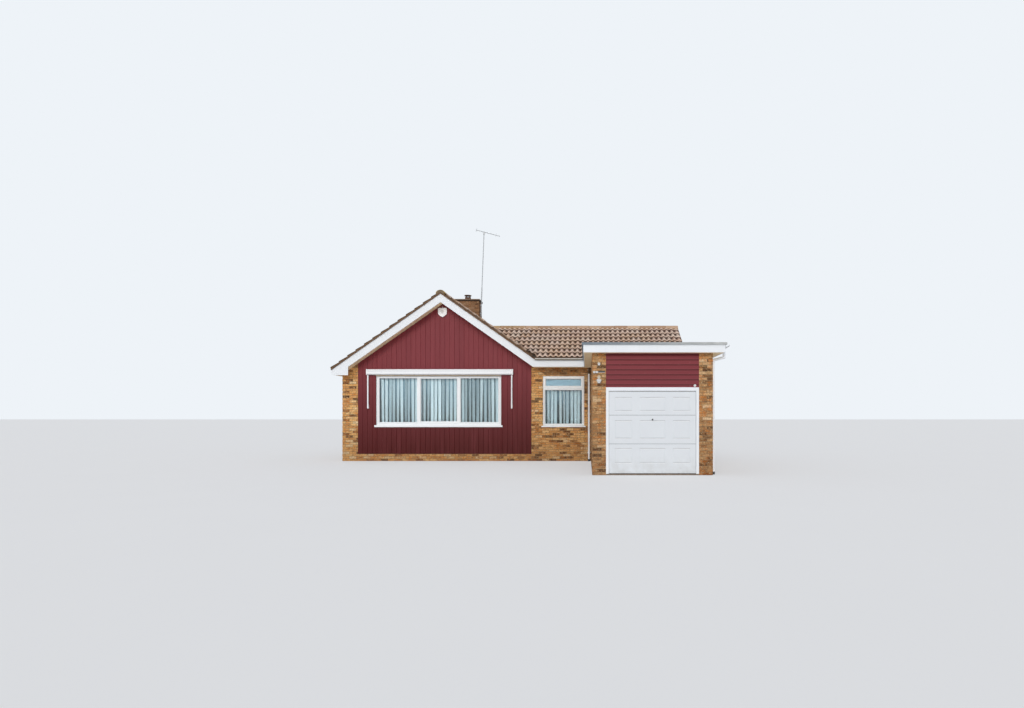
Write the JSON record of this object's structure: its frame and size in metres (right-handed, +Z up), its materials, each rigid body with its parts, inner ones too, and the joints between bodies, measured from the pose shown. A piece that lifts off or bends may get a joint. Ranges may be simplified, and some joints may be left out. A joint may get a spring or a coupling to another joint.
{
  "type": "bungalow with attached garage",
  "caption": "Single-storey house with a boarded front gable, a lower tiled wing, and a flat-roofed brick garage whose panelled door swings up and over.",
  "frame": {"origin": "centre of the whole outline seen from above, at ground level", "axes": "+Z up, +X to the right along the front, +Y from the front to the back"},
  "size_m": [11.613, 14.26, 8.5958],
  "materials": {
    "alloy": "dull aluminium tube",
    "bare_wood": "sawn softwood",
    "beige_board": "tan painted boarding, matt",
    "blind_fabric": "white vertical blind vanes",
    "brick": "orange-brown multi brick with darker headers",
    "chimney_brick": "weathered brown brick",
    "concrete": "plain cast concrete",
    "door_paint": "white powder coat",
    "glazing": "clear double glazing",
    "grey_trim": "grey edge trim, weathered",
    "maroon_board": "maroon painted boarding, satin",
    "ridge_tile": "half-round ridge tile with moss",
    "roof_felt": "mineral felt",
    "roof_tile": "brown concrete roll tile, lightly mossed",
    "steel": "zinc-plated steel",
    "terracotta": "sooted clay",
    "white_board": "white painted timber, satin",
    "white_plastic": "white extruded plastic, gloss"
  },
  "bodies": {
    "house": {"left_wall": "brick", "front_wall": "brick", "link_front_wall": "brick", "rear_wall": "brick", "right_rear_wall": "brick", "link_rear_wall": "brick", "link_right_wall": "brick", "garage_left_wall": "brick", "garage_right_wall": "brick", "garage_left_pier": "brick", "garage_right_pier": "brick", "garage_beam": "bare_wood", "shiplap_panel": "maroon_board", "gable_cladding": "maroon_board", "house_floor": "concrete", "garage_floor": "concrete", "door_step": "concrete", "main_roof_left": "roof_tile", "main_roof_right": "roof_tile", "link_roof_front": "roof_tile", "link_roof_rear": "roof_tile", "main_ridge_tiles": "ridge_tile", "link_ridge_tiles": "ridge_tile", "front_bargeboards": "white_board", "rear_bargeboards": "white_board", "verge_soffits": "beige_board", "eaves_boards": "white_board", "eaves_soffits": "beige_board", "gutters": "white_plastic", "downpipes": "white_plastic", "flat_roof_deck": "roof_felt", "flat_roof_joists": "bare_wood", "flat_roof_board": "white_board", "flat_roof_trim": "grey_trim", "flat_roof_soffit": "beige_board", "wide_window": "white_plastic", "wide_window_glass": "glazing", "wide_window_blinds": "blind_fabric", "small_window": "white_plastic", "small_window_glass": "glazing", "small_window_blinds": "blind_fabric", "side_windows": "white_plastic", "side_window_glass": "glazing", "rear_windows": "white_plastic", "rear_window_glass": "glazing", "entrance_door": "white_plastic", "chimney_stack": "chimney_brick", "chimney_cap": "concrete", "chimney_pot": "terracotta", "aerial_mast": "alloy", "aerial_array": "alloy", "awning_case": "white_plastic", "awning_arms": "white_plastic", "alarm_box": "white_plastic", "garage_lamps": "white_plastic", "garage_door_frame": "white_board", "garage_door_tracks": "steel"},
    "lifting_arms": {"garage_door_arms": "steel"},
    "garage_door": {"garage_door_leaf": "door_paint", "garage_door_gear": "steel"}
  },
  "joints": [
    {"name": "arm_hinge", "type": "hinge", "parent": "house", "child": "lifting_arms", "pos_m": [3.9485, -6.772, 1.987], "axis": [1, 0, 0], "range_deg": [0, 85]},
    {"name": "leaf_hinge", "type": "hinge", "parent": "lifting_arms", "child": "garage_door", "pos_m": [3.9485, -6.772, 1.317], "axis": [1, 0, 0], "range_deg": [-170, 0]}
  ],
  "couplings": [
    {"joint": "leaf_hinge", "follows": "arm_hinge", "ratio": -2}
  ]
}
